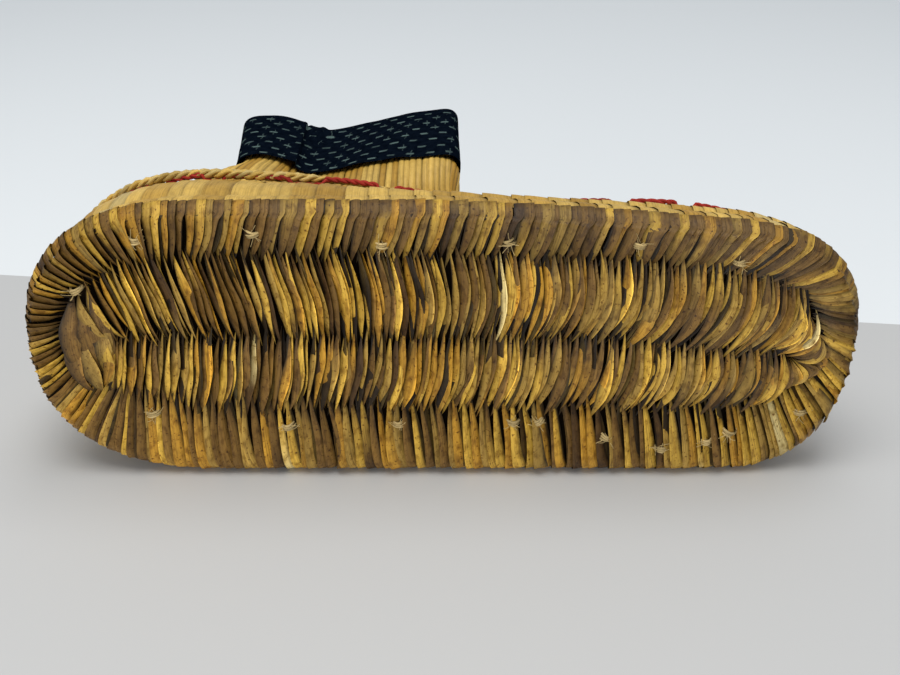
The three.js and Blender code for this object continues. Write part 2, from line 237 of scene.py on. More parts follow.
# The wall's outer surface on a fine grid, read off by row and turn
PER_ROW = 10
PER_TURN = 180
grid_turns = np.arange(4 * PER_TURN) / PER_TURN
grid = []
for k in range(COLLAR * PER_ROW + 1):
    one = ring_at(k / PER_ROW)
    points = ring_points(one, grid_turns)
    grid.append(place(points[:, 0], points[:, 1], points[:, 2], one["off"]))
grid = np.array(grid)


def unit(v):
    return v / np.maximum(np.linalg.norm(v, axis=-1, keepdims=True), 1e-9)


def spread(rows, reach):
    """Differences over a few grid rows, kept inside the grid."""
    last = len(rows) - 1
    index = np.arange(len(rows))
    return rows[np.minimum(index + reach, last)] - rows[np.maximum(index - reach, 0)]


grid_up = unit(spread(grid, 4))
grid_round = unit(np.roll(grid, -4, 1) - np.roll(grid, 4, 1))
grid_out = unit(np.cross(grid_up, grid_round))


def read(field, row, turn):
    row, turn = np.broadcast_arrays(np.asarray(row, float), np.asarray(turn, float))
    r = np.clip(row * PER_ROW, 0, len(field) - 1.001)
    t = np.mod(turn, 4) * PER_TURN
    r0 = r.astype(int)
    t0 = t.astype(int) % (4 * PER_TURN)
    t1 = (t0 + 1) % (4 * PER_TURN)
    fr = (r - r0)[..., None]
    ft = (t - np.floor(t))[..., None]
    low = field[r0, t0] * (1 - ft) + field[r0, t1] * ft
    high = field[r0 + 1, t0] * (1 - ft) + field[r0 + 1, t1] * ft
    return low * (1 - fr) + high * fr


def wall(row, turn, off=0.0):
    """Points on the wall, off it by so much, with the directions out of it, up it and round it."""
    out = unit(read(grid_out, row, turn))
    off = np.asarray(off, float)
    if off.ndim:
        off = off[..., None]
    points = read(grid, row, turn) + out * off
    return points, out, unit(read(grid_up, row, turn)), unit(read(grid_round, row, turn))


def even_turns(row, pitch):
    """Turns that lie about a pitch apart along the ring at a row."""
    turns = np.linspace(0, 4, 1200)
    run = run_along(read(grid, row, turns))
    count = max(int(run[-1] / pitch), 2)
    edges = np.interp(np.linspace(0, run[-1], count + 1), run, turns)
    return (edges[1:] + edges[:-1]) / 2


FINE = np.linspace(0, 4, 801)


def matched(u_ref, u_row, low, high, shift=None):
    """How the turn changes from one ring to another, so that a strip keeps its place along between low and
    high, moved by shift, and spreads evenly round the ends. A ring is given as its places along at FINE."""
    ref, change = [], []
    for a, b in ((0, 2), (2, 4)):
        part = (FINE >= a) & (FINE <= b)
        fine, here, there = FINE[part], u_ref[part], u_row[part]
        if a == 0:
            fine, here, there = fine[::-1], here[::-1], there[::-1]
        inside = (here > low) & (here < high)
        wanted = here[inside] + (shift(here[inside], 1 - a) if shift else 0)
        ref.append(fine[inside])
        change.append(np.interp(wanted, there, fine) - fine[inside])
    ref, change = np.concatenate(ref), np.concatenate(change)
    return lambda turn: turn + np.interp(turn, ref, change, period=4)


def row_matches(rows, ref, low, high, shift=None):
    """For each row of the wall, its turns matched to those of the row ref."""
    u_ref = read(grid, ref, FINE)[:, 0]
    return [matched(u_ref, read(grid, row, FINE)[:, 0], low, high, shift) for row in rows]


def closed_quads(rows, around):
    """The faces of a tube of so many rings, each of so many points."""
    i = np.arange(rows - 1)[:, None] * around
    j = np.arange(around)[None, :]
    k = (j + 1) % around
    return np.stack([i + j, i + k, i + k + around, i + j + around], -1).reshape(-1, 4)


def add_object(name, data):
    thing = bpy.data.objects.new(name, data)
    bpy.context.collection.objects.link(thing)
    return thing


def add_piece(name, mesh, look):
    """A piece of the boot, which rides with its body."""
    thing = add_object(name, mesh)
    thing.data.materials.append(look)
    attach(thing, "root")
    return thing


class Strips:
    """Many ribbons gathered into one mesh, with a place along and across each in its UVs, and a colour."""

    def __init__(self):
        self.verts = []
        self.faces = []
        self.uvs = []
        self.colors = []
        self.count = 0

    def put(self, points, centre, across, colors, quads, seed):
        length = run_along(centre)[:, None]
        uv = np.stack(np.broadcast_arrays(across + seed * 37.3, length + seed * 91.7), -1)
        self.verts.append(points.reshape(-1, 3))
        self.uvs.append(uv.reshape(-1, 2))
        self.colors.append(colors.reshape(-1, 3))
        self.faces.append(quads + self.count)
        self.count += len(self.verts[-1])

    def add(self, centre, side, out, half, color, across, cup, tilt, seed, edges=(1.0, 1.0), shadow=0.45):
        """A ribbon along centre. half is its half width, cup how much it arches, tilt how it leans, edges how
        its two edges' colour is scaled, below 1 as painted shade and above 1 as painted highlight, and shadow
        how far the first edge's painted shade reaches."""
        n = len(centre)
        x = np.linspace(-1, 1, across)
        half = np.broadcast_to(half, (n,))
        tilt = np.broadcast_to(tilt, (n,))
        wide = half[:, None] * x
        drop = -(cup * half)[:, None] * np.abs(x) ** 2.2 + tilt[:, None] * wide
        points = centre[:, None] + side[:, None] * wide[..., None] + out[:, None] * drop[..., None]
        color = np.broadcast_to(np.asarray(color, float), (n, 3))
        # The colour across the ribbon: painted shade where an edge's scale is below 1, painted highlight where
        # above 1
        shade = np.interp(x, [-1, shadow - 1, 0.55, 1], [edges[0], 1, 1, edges[1]])
        i = np.arange(n - 1)[:, None] * across + np.arange(across - 1)[None, :]
        quads = np.stack([i, i + 1, i + across + 1, i + across], -1).reshape(-1, 4)
        self.put(points, centre, wide, color[:, None, :] * shade[None, :, None], quads, seed)

    def tube(self, centre, radius, color, sides, flat, seed, up=(0.0, 0.0, 1.0)):
        """A round strand along centre, flat says how thick it is for its width."""
        n = len(centre)
        along = unit(np.gradient(centre, axis=0))
        across = unit(np.cross(along, np.broadcast_to(up, centre.shape)))
        out = unit(np.cross(across, along))
        radius = np.broadcast_to(radius, (n,))
        angle = np.linspace(0, 2 * np.pi, sides, endpoint=False)
        wide = radius[:, None] * np.cos(angle)
        thick = radius[:, None] * np.sin(angle) * flat
        points = centre[:, None] + across[:, None] * wide[..., None] + out[:, None] * thick[..., None]
        color = np.repeat(np.broadcast_to(np.asarray(color, float), (n, 3)), sides, axis=0)
        self.put(points, centre, radius[:, None] * angle, color, closed_quads(n, sides), seed)

    def build(self, name, look):
        verts = np.concatenate(self.verts)
        verts[:, 2] = np.maximum(verts[:, 2], FLOOR_GAP)
        faces = np.concatenate(self.faces)
        mesh = bpy.data.meshes.new(name)
        mesh.vertices.add(len(verts))
        mesh.vertices.foreach_set("co", (verts * 0.001).ravel())
        mesh.loops.add(faces.size)
        mesh.loops.foreach_set("vertex_index", faces.ravel())
        mesh.polygons.add(len(faces))
        mesh.polygons.foreach_set("loop_start", np.arange(len(faces)) * 4)
        mesh.polygons.foreach_set("use_smooth", np.ones(len(faces), bool))
        mesh.update(calc_edges=True)
        uv = np.concatenate(self.uvs)[faces.ravel()]
        mesh.uv_layers.new(name="UVMap").data.foreach_set("uv", (uv * 0.01).ravel())
        colors = np.concatenate(self.colors)
        layer = mesh.color_attributes.new("tint", "FLOAT_COLOR", "POINT")
        layer.data.foreach_set("color", np.concatenate([colors, np.ones((len(colors), 1))], 1).ravel())
        mesh.validate()
        return add_piece(name, mesh, look)


def linear(r, g, b):
    """A colour given in the usual 0 to 255, made linear."""
    c = np.array([r, g, b]) / 255
    return np.where(c <= 0.04045, c / 12.92, ((c + 0.055) / 1.055) ** 2.4)


# Materials


class Look:
    """A material and short ways to make its nodes, whose inputs are values or the outputs that feed them."""

    def __init__(self, name):
        self.made = bpy.data.materials.new(name)
        self.made.use_nodes = True
        self.tree = self.made.node_tree

    def feed(self, target, inputs):
        for key, value in inputs.items():
            if isinstance(value, bpy.types.NodeSocket):
                self.tree.links.new(value, target.inputs[key])
            else:
                target.inputs[key].default_value = value

    def node(self, kind, inputs, **settings):
        made = self.tree.nodes.new("ShaderNode" + kind)
        for key, value in settings.items():
            setattr(made, key, value)
        self.feed(made, inputs)
        return made.outputs

    def ramp(self, source, *stops):
        """A colour ramp, each stop a place and a colour or a grey."""
        output = self.node("ValToRGB", {"Fac": source})["Color"]
        elements = output.node.color_ramp.elements
        elements.remove(elements[-1])
        for k, (at, value) in enumerate(stops):
            one = elements[0] if k == 0 else elements.new(at)
            one.position = at
            one.color = (*value, 1) if np.ndim(value) else (value, value, value, 1)
        return output

    def uv(self, across, along):
        """The strip's own UVs, scaled to so many waves a millimetre across and along."""
        plain = self.node("UVMap", {}, uv_map="UVMap")["UV"]
        return self.node("Mapping", {"Vector": plain, "Scale": (across * 100, along * 100, 1)})["Vector"]

    def solid(self, *scale):
        """The place in the piece itself, scaled."""
        plain = self.node("TexCoord", {})["Object"]
        return self.node("Mapping", {"Vector": plain, "Scale": scale})["Vector"]

    def noise(self, vector, detail=3, rough=0.55):
        inputs = {"Vector": vector, "Scale": 1, "Detail": detail, "Roughness": rough}
        return self.node("TexNoise", inputs)["Fac"]

    def waves(self, vector, direction, scale, distortion=0.0):
        inputs = {"Vector": vector, "Scale": scale, "Distortion": distortion}
        return self.node("TexWave", inputs, wave_type="BANDS", bands_direction=direction)["Fac"]

    def blend(self, a, b, amount=1.0, kind="MULTIPLY"):
        return self.node("Mix", {"Factor": amount, 6: a, 7: b}, data_type="RGBA", blend_type=kind)[2]

    def calc(self, kind, *values):
        return self.node("Math", dict(enumerate(values)), operation=kind)[0]

    def bump(self, height, strength, distance):
        return self.node("Bump", {"Strength": strength, "Distance": distance, "Height": height})["Normal"]

    def finish(self, color, roughness, specular=0.5, normal=None):
        inputs = {"Base Color": color, "Roughness": roughness, "Specular IOR Level": specular}
        if normal is not None:
            inputs["Normal"] = normal
        self.feed(self.tree.nodes["Principled BSDF"], inputs)
        return self.made


def straw_material(name, fibre, dark, rough, bumped, patch, specks):
    """Dried straw or leaf: its own colour, fine fibres along it, brown patches and dark specks."""
    look = Look(name)
    fibres = look.noise(look.uv(fibre, 0.035), 4, 0.65)
    tint = look.node("VertexColor", {}, layer_name="tint")["Color"]
    color = look.blend(tint, look.ramp(fibres, (0.3, dark), (0.48, 0.92), (0.62, 1.0), (0.8, 1.22)))
    if patch:
        broad = look.noise(look.uv(0.3, 0.07), 3, 0.6)
        mask = look.ramp(broad, (0.3, (1.16, 1.16, 1.1)), (0.5, 0.95), (0.68, (0.56, 0.53, 0.5)))
        color = look.blend(color, mask, patch)
        blotch = look.noise(look.uv(0.5, 0.26), 2, 0.5)
        mask = look.ramp(blotch, (0.48, 1.0), (0.62, (0.66, 0.6, 0.46)), (0.74, (0.4, 0.34, 0.22)))
        color = look.blend(color, mask, patch)
    if specks:
        spots = look.noise(look.uv(0.95, 0.8), 1, 0.5)
        mask = look.ramp(spots, (0.62, 1.0), (0.7, (0.5, 0.4, 0.25)), (0.78, (0.2, 0.14, 0.07)))
        color = look.blend(color, mask, specks)
    roughness = look.ramp(fibres, (0.3, rough + 0.15), (0.7, rough - 0.06))
    return look.finish(color, roughness, 0.3, look.bump(fibres, bumped, 0.0004))


def under_material(name, color):
    """Straw that shows only in the gaps."""
    look = Look(name)
    strands = look.noise(look.solid(900, 120, 120))
    shade = look.ramp(strands, (0.3, color * 0.5), (0.7, color * 1.3))
    return look.finish(shade, 0.9, 0.05, look.bump(strands, 0.6, 0.0006))


# The kinds of straw: how fine and dark their fibres are, how rough and bumped, and how patched and specked
STRAWS = table(
    "name fibre dark rough bumped patch specks",
    ("leaf", 2.6, 0.4, 0.5, 0.6, 0.9, 0.95),
    ("flat_straw", 1.9, 0.58, 0.5, 0.5, 0.3, 0.15),
    ("round_straw", 2.2, 0.6, 0.48, 0.4, 0.3, 0.15),
    ("plait", 2.4, 0.42, 0.6, 0.9, 0.3, 0.2),
    ("twine", 3.5, 0.6, 0.75, 0.7, 0, 0),
    ("yarn", 4.0, 0.55, 0.9, 0.8, 0, 0),
)
straws = {row["name"]: straw_material(**row) for row in STRAWS}

# Colours of single leaves and straws
GOLD = linear(200, 160, 62)
OCHRE = linear(174, 129, 41)
TAN = linear(160, 128, 58)
BROWN = linear(115, 85, 36)
DARK = linear(76, 53, 22)
CREAM = linear(210, 188, 126)
PALE = linear(214, 176, 88)
BEIGE = linear(194, 153, 66)


def leaf_color(n, darker=0.0):
    """The colour of one leaf along its length: often brown at one end and golden at the other."""
    names = [GOLD, OCHRE, TAN, BROWN, DARK, CREAM]
    weights = np.array([0.26, 0.2, 0.2, 0.28, 0.05, 0.01])
    weights[3] += darker
    weights /= weights.sum()
    first = names[rng.choice(6, p=weights)]
    second = names[rng.choice(6, p=weights)] if rng.random() < 0.6 else first
    t = np.linspace(0, 1, n)
    edge = rng.uniform(0.2, 0.8)
    blend = smooth((t - edge) / 0.5 + 0.5)[:, None]
    color = first * (1 - blend) + second * blend
    return color * rng.uniform(0.82, 1.15)


# The woven sole


def cord(rear, front, outer, inner, centre):
    """A ring flat on the tread, so far in from each side."""
    sides = {"rear": rear - HALF_L, "front": HALF_L - front, "outer": HALF_W - outer}
    return {**PLAIN_RING, **sides, "inner": HALF_W - inner, "centre": centre}


OUTER_CORD = dict(rear=12, front=13, outer=21, inner=25, centre=4)


def inset_cord(inset):
    return cord(inset, inset, inset, inset, 0)


def spline(values, t):
    """A smooth curve through evenly spaced values."""
    values = np.asarray(values, float)
    n = len(values)
    x = np.clip(t, 0, 1) * (n - 1)
    i = np.minimum(x.astype(int), n - 2)
    f = (x - i).reshape(-1, *([1] * (values.ndim - 1)))
    a, b, c, d = (values[np.clip(i + k, 0, n - 1)] for k in (-1, 0, 1, 2))
    cubic = -a / 2 + 1.5 * b - 1.5 * c + d / 2
    return b + f * ((c - a) / 2 + f * (a - 2.5 * b + 2 * c - d / 2 + f * cubic))


# Each outer leaf runs from the outer cord over the tread, round the edge and up to the side wall: its share
# of the way from the cord to the edge, how far out past the edge, and how far above the tread.
OUTER_PATH = [
    (-0.22, 0, 2.1), (-0.02, 0, 0.9), (0.2, 0, -0.7), (0.5, 0, -1.2), (0.76, 0, -0.6),
    (1, -3, 1.2), (1, -1.1, 3.4), (1, -0.4, 5.2), (1, -0.5, 6.5), (1, -2.8, 7.2),
]
# How far the outer leaves lean from the cord to the edge, along the outer side of the mat and the inner one.
LEAN_TABLE = table(
    "u outer inner",
    (-126, -11.0, -11.0),
    (-112, -8.0, -2.5),
    (-98, -1.0, 1.0),
    (-75, 3.6, 2.6),
    (40, 4.4, 3.6),
    (85, 5.6, 5.0),
    (110, 11.5, 7.0),
    (122, 13.0, 10.0),
)
edge_flat = ring_points(inset_cord(0), FINE)[:, :2]
cord_flat = ring_points(cord(**OUTER_CORD), FINE)[:, :2]


def cord_shift(u, side):
    return -look_up(LEAN_TABLE, u, "outer" if side > 0 else "inner")


to_cord = matched(edge_flat[:, 0], cord_flat[:, 0], LEAN_TABLE[0]["u"], LEAN_TABLE[-1]["u"], cord_shift)


def along_loop(flat, turn):
    return np.array([np.interp(np.mod(turn, 4), FINE, flat[:, k]) for k in (0, 1)])


def outer_path(turn, share, out, height, bow):
    """The line of an outer leaf, by its share of the way from cord to edge, and how far out and up it is."""
    edge = along_loop(edge_flat, turn)
    inner = along_loop(cord_flat, to_cord(turn))
    way = along_loop(edge_flat, turn + 0.01) - edge
    outward = np.array([way[1], -way[0]]) / np.hypot(*way)
    outward = outward * np.sign(outward @ (edge - [-10, 0]))
    flat = inner + (edge - inner) * share[:, None] + outward * out[:, None]
    flat[:, 0] += bow * np.sin(np.clip(share, 0, 1) * np.pi)
    return place_flat(flat, height)


def outer_leaf(strips, turn, half, lift, tilt, seed, step, shade):
    n = 22
    t = np.linspace(0, 1, n)
    share, out, height = spline(OUTER_PATH, t).T
    share[:4] += rng.uniform(-0.12, 0.06) * np.linspace(1, 0, 4)
    out = out + step * smooth((t - 0.45) / 0.2)
    proud = rng.uniform(0, 2.2) * np.interp(t, [0, 0.3], [1, 0])
    height = height - lift * np.sin(np.clip(t * 1.5, 0, 1) * np.pi) - proud
    bow = rng.normal(0, 0.6)
    centre = outer_path(turn, share, out, height, bow)
    beside = outer_path(turn + 0.004, share, out, height, bow)
    along = unit(np.gradient(centre, axis=0))
    side = beside - centre
    side = -unit(side - along * np.sum(side * along, -1, keepdims=True))
    normal = unit(np.cross(side, along))
    if normal[8, 1] > 0:
        normal = -normal
    taper = np.interp(t, [0, 0.1, 0.22, 0.36, 0.5, 1], [0.03, 0.26, 0.54, 0.82, 1.0, 1.05])
    upper_side = turn % 4 < 2
    # The upper side mixes in more brown leaves, and its leaves carry painted shade (x0.83) while the lower
    # side's carry painted light (x1.22)
    color = shade * leaf_color(n, 0.3 * upper_side) * (0.83 if upper_side else 1.22)
    # Painted light: leaves are brightened towards the heel and dimmed towards the toe
    color = color * np.interp(along_loop(edge_flat, turn)[0], [-120, 0, 110], [1.14, 1.0, 0.9])
    # Painted shade: the leaf darkens at both ends, where it dives under the cord and where it folds in at the
    # top
    color = color * np.interp(t, [0, 0.1, 0.24, 0.93, 1], [0.3, 0.62, 1, 1, 0.4])[:, None]
    tilts = tilt * np.interp(t, [0, 0.4, 0.62, 1], [1.3, 1, 0.32, 0.2])
    # Painted shade along each leaf's first edge, where it lies against its neighbour, reaching 0.7 across
    edges = (rng.uniform(0.06, 0.3), rng.uniform(0.85, 1.25))
    cup = rng.uniform(-0.02, 0.16)
    strips.add(centre, side, normal, half * taper, color, 5, cup, tilts, seed, edges, 0.7)


def outer_turns(pitch):
    run = run_along(edge_flat)
    count = int(run[-1] / pitch)
    return np.interp((np.arange(count) + 0.5) / count * run[-1], run, FINE)


def make_sole_leaves():
    strips = Strips()
    for layer, (pitch, wide) in enumerate(((3.0, 2.1), (4.1, 1.8))):
        for k, turn in enumerate(outer_turns(pitch)):
            turn += rng.normal(0, 0.002)
            half = wide * rng.uniform(0.72, 1.3)
            tilt = rng.normal(0.5, 0.08)
            lift = rng.uniform(-0.1, 0.3) + 0.9 * (rng.random() < 0.12) - 1.2 * layer
            step = rng.uniform(-0.15, 0.35) - 0.6 * layer
            # The second, sunk layer carries painted shade: its colour is scaled to 0.14 so it reads as dark
            # gaps
            outer_leaf(strips, turn, half, lift, tilt, layer * 500 + k, step, 1 - 0.86 * layer)
    inner_leaves(strips)
    return strips.build("sole_leaves", straws["leaf"])


# The core of the mat, near-black as painted shade, which shows only in the gaps: how far in from the edge
# each of its rings lies, and how high above the tread
CORE_RINGS = [
    (52, 4.4), (30, 4.4), (10, 4.4), (6, 4.7), (4.2, 6), (3.8, 9), (4, 12.6), (30, 12.8), (52, 12.8),
]


def sole_ring(inset, height, turns):
    return place_flat(ring_points(inset_cord(inset), turns), height)


def make_shade_core():
    turns = np.arange(160) / 160 * 4
    rings = np.concatenate([sole_ring(inset, height, turns) for inset, height in CORE_RINGS])
    mesh = bpy.data.meshes.new("sole_shade_core")
    mesh.from_pydata((rings * 0.001).tolist(), [], closed_quads(len(CORE_RINGS), len(turns)).tolist())
    # Painted shade: the core is a near-black sheet that stands for the shade deep in the gaps between leaves
    return add_piece("sole_shade_core", mesh, under_material("sole_gap_shade", linear(20, 13, 6)))


def cord_line(u, side):
    """How far across the outer cord lies at a place along, on the outer side (1) or the inner (-1)."""
    part = FINE <= 2 if side > 0 else FINE >= 2
    order = np.argsort(cord_flat[part][:, 0])
    return np.interp(u, cord_flat[part][order, 0], cord_flat[part][order, 1])


def inner_leaf(strips, top, foot, bow, half, lift, tilt, seed, shade=1.0, color=None):
    """A pointed leaf across a band of the weave. bow is how far it bulges to the toe."""
    n = 17
    t = np.linspace(0, 1, n)
    top = np.array(top, float)
    foot = np.array(foot, float)
    across = foot - top
    normal = np.array([-across[1], across[0]]) / max(np.hypot(*across), 1e-6)
    bulge = np.sin(t * np.pi) * bow + rng.normal(0, 0.25) * np.sin(t * 2 * np.pi)
    flat = top + across * t[:, None] + normal * bulge[:, None] * (1 if normal[0] > 0 else -1)
    arch = np.sin(t * np.pi) ** 0.8
    tips = 3.6 - np.interp(t, [0, 0.5, 1], [rng.uniform(0, 3.4), 0, rng.uniform(0, 3.4)])
    height = tips - 4.9 * arch - lift * arch
    centre = place_flat(flat, height)
    along = unit(np.gradient(centre, axis=0))
    side = unit(np.cross(along, np.array([0, -1.0, 0])))
    side = side * np.where(side[:, :1] < 0, -1, 1)
    out = unit(np.cross(side, along))
    out = out * np.sign(-out[:, 1:2])
    widest = rng.uniform(0.35, 0.65)
    bends = [0, widest * 0.45, widest * 0.8, widest, 1 - (1 - widest) * 0.8, 1 - (1 - widest) * 0.45, 1]
    shape = np.interp(t, bends, [0.03, 0.46, 0.88, 1.0, 0.88, 0.46, 0.03])
    # Painted light: leaves of their own colour are brightened towards the heel and dimmed towards the toe
    if color is None:
        color = leaf_color(n) * shade * np.interp(top[0], [-115, 0, 110], [1.24, 1.14, 0.94])
    # Painted shade: the leaf darkens towards both tips, where it dives into the valleys of the weave
    color = color * np.interp(t, [0, 0.1, 0.22, 0.78, 0.9, 1], [0.3, 0.66, 1, 1, 0.66, 0.3])[:, None]
    # Painted shade on every leaf's first edge, and on a fifth of the leaves a painted highlight on the second
    # edge
    highlit_edge = rng.random() < 0.2
    edges = (rng.uniform(0.05, 0.3), rng.uniform(1.6, 2.5) if highlit_edge else rng.uniform(0.8, 1.25))
    strips.add(centre, side, out, half * shape, color, 5, rng.uniform(-0.05, 0.16), tilt, seed, edges, 0.8)


# How the leaves of the two middle bands lean: by how much their upper and lower ends are moved along,
# and how far they bulge to the toe.
BAND_TABLE = table(
    "u upper_top upper_foot upper_bow lower_top lower_foot lower_bow",
    (-125, -4, 7, 0, 1, -4, 0),
    (-100, -5, 6, 0, 2, -3, 0.3),
    (-45, -3, 3, 1, 2, -3, 0.6),
    (0, -1, 0, 2.4, 3, -3, 1),
    (55, 2, -5, 3.2, 3, -4, 2),
    (95, 3, -9, 5, 3, -5, 3),
    (125, 0, -11, 6, -1, -6, 4),
)
# The broad leaves that close the mat at the heel: their two ends, bulge, half width, tilt and colour.
HEEL_LEAVES = table(
    "top foot bow half tilt color",
    ((-124, 17), (-118.5, -13), 0, 4.8, 0.0, BROWN * 1.2),
    ((-120, 22), (-114, -12), 0, 4.0, 0.0, BROWN),
    ((-124, 17), (-115.5, -9), 3, 3.6, 0.1, TAN * 0.8),
    ((-121, 24), (-109, 3), -2, 2.6, 0.3, GOLD),
    ((-124, 21), (-112, 1), -3, 2.8, 0.3, TAN),
    ((-117, 8), (-117, -19), 1, 2.4, 0.2, GOLD),
    ((-114, 2), (-121, -18), 1, 2.2, 0.2, OCHRE),
    ((-126, 9), (-119.5, -21), 0, 3.4, 0.1, TAN * 0.8),
    ((-119, 13), (-121, -12), 3, 3.2, 0.1, TAN),
    ((-128, 8), (-121.5, -20), -3, 3.0, 0.0, BROWN),
    ((-126, 21), (-120, -17), -5, 3.8, -0.15, BROWN * 1.15),
)


def band_leaves(strips, band, ends, seed):
    """One of the two middle bands of the mat: a close layer of leaves, and a sparse one sunk behind it,
    darkened as painted shade.
    """
    above = band == "upper"
    for layer, (pitch, wide) in enumerate(((1.9, 1.75), (2.7, 1.6))):
        u = ends[0]
        while u < ends[1]:
            u += pitch * rng.uniform(0.55, 1.45)
            seed += 1
            top_u = float(np.clip(u + look_up(BAND_TABLE, u, band + "_top"), -131, 129))
            foot_u = float(np.clip(u + look_up(BAND_TABLE, u, band + "_foot"), -129, 126))
            past = rng.uniform(1.0, 5.5, 2)
            valley = 4.0 - 7.0 * smooth((u - 55) / 65)
            top_v = (cord_line(top_u, 1) if above else valley) + past[0]
            foot_v = (valley if above else cord_line(foot_u, -1)) - past[1]
            bow = look_up(BAND_TABLE, u, band + "_bow") + rng.normal(0, 0.35)
            half = wide * rng.uniform(0.6, 1.35)
            lift = rng.uniform(-0.2, 0.4) + 1.0 * (rng.random() < 0.12) - 1.0 * layer
            tilt = rng.normal(0.62, 0.14)
            # The sunk layer carries painted shade: its colour is scaled to 0.14
            shade = 1 - 0.86 * layer
            inner_leaf(strips, (top_u, top_v), (foot_u, foot_v), bow, half, lift, tilt, seed, shade)


def inner_leaves(strips):
    band_leaves(strips, "upper", (-119, 122), 2000)
    band_leaves(strips, "lower", (-117, 117), 3000)
    for k, leaf in enumerate(HEEL_LEAVES):
        inner_leaf(strips, lift=0.5 + 0.1 * k, seed=4000 + k, **leaf)
    # At the toe the upper band's last leaves bend round the end, and a fan of short ones fills the corner.
    for k in range(9):
        top = (121 + 1.2 * k, 23 - 2.3 * k)
        foot = (112 + 1.3 * k, -2 - 0.5 * k)
        inner_leaf(strips, top, foot, 5.5 - 0.1 * k, 1.7, 0.3 + 0.1 * k, 0.35, 4100 + k)
    inner_leaf(strips, (127.5, 17.5), (116.5, -3.5), 6, 1.2, 1.8, 0.4, 4110, color=CREAM)
    for k in range(10):
        top = (120.5 + 0.3 * k, -6.0)
        foot = (115.5 + 1.3 * k, -20.5 + 1.1 * k)
        inner_leaf(strips, top, foot, 1.5 + 0.9 * k, 1.5, 0.2 + 0.1 * k, 0.35, 4200 + k)


sole_leaves = make_sole_leaves()
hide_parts("sole")
sole_shade_core = make_shade_core()

# The twine that ties the mat's outer ring to its cords: where each tie shows, along and across
TIES = [
    (-102, 41), (-63, 43.5), (-20.5, 39.5), (21.3, 41.2), (65, 42.5), (99, 38), (-124, 22.5),
    (-103, -26), (-55.5, -31.5), (-16, -30.3), (24.7, -29.8), (33.5, -29.5), (58.2, -36), (78.3, -40.8),
    (94.3, -37.9), (101.8, -34.5), (127, -26.8),
]


def headed(angle):
    """A direction on the tread, and the one square to it."""
    way = np.array([math.cos(angle), math.sin(angle)])
    return way, np.array([-way[1], way[0]])


def make_ties():
    """Each tie is three turns of twine with a few loose ends."""
    strips = Strips()
    beige = linear(188, 164, 112)
    for k, (u, v) in enumerate(TIES):
        way, across = headed(rng.normal(0, 0.25))
        for turn in range(3):
            t = np.linspace(-1, 1, 11)
            reach = rng.uniform(2.0, 2.9)
            slip = (turn - 1) * 0.75 + 0.3 * t * rng.normal()
            flat = np.array([u, v]) + way * (t * reach)[:, None] + across * slip[:, None]
            h = 1.2 - 3.1 * (1 - t**2) ** 0.7 - rng.uniform(0, 0.3)
            tone = beige * rng.uniform(0.75, 1.15)
            strips.tube(place_flat(flat, h), 0.5, tone, 6, 0.8, 8200 + k)
        for _ in range(7):
            t = np.linspace(0, 1, 7)
            end, bend = headed(rng.uniform(0, 2 * math.pi))
            curl = rng.normal(0, 1.2)
            reach = rng.uniform(1.5, 4.5)
            start = np.array([u, v]) + rng.normal(0, 0.8, 2)
            flat = start + end * (t * reach)[:, None] + bend * (curl * t * t)[:, None]
            h = -1.9 - rng.uniform(0, 0.7) * np.sin(t * 2.4)
            strips.tube(place_flat(flat, h), 0.1, beige * rng.uniform(0.8, 1.2), 4, 1.0, 8300 + k)
    return strips.build("twine_ties", straws["twine"])


ties = make_ties()

# The side wall, the vamp and the leg


def pale_color(n, brown=0.12):
    kind = rng.random()
    base = PALE if kind < 0.55 else (BEIGE if kind < 0.9 - brown else mix(BEIGE, OCHRE, 0.5))
    if rng.random() < 0.05:
        base = mix(PALE, CREAM, 0.6)
    t = np.linspace(0, 1, n)[:, None]
    drift = 1 + rng.normal(0, 0.05) * (t - 0.5)
    return base * drift * rng.uniform(0.86, 1.1)


def wall_strip(strips, rows, turn, half, off, color, seed, cup, tilt=0.0, sway=0.0):
    """A strip along the wall, arched away from it: on its outside, or inside where off is negative."""
    turns = turn + sway * np.linspace(-0.5, 0.5, len(rows))
    centre, out, _, around = wall(rows, turns, off)
    press_leg(centre, leg_share(rows))
    strips.add(centre, around, out * np.sign(off), half, color, 5, cup, tilt, seed)


def ring_width(row, turn, share):
    """How wide a share of a turn is at a row."""
    a = read(grid, row, turn - share / 2)
    b = read(grid, row, turn + share / 2)
    return np.linalg.norm(b - a, axis=-1)


# Each strip of the side wall starts behind the folded tops of the sole's leaves, and then lies on the wall:
# how far in from the sole's edge it is there, and how high.
FOOT_PATH = [(1.2, 4.8), (0.8, 6.8), (0.8, 9.6), (1.6, 12.9)]


def sole_edge(turn, inset, height):
    """A point of the sole's outline, and the way out from it."""
    at, beyond = (sole_ring(i, height, np.array([turn]))[0] for i in (inset, inset - 1))
    return at, unit(beyond - at)


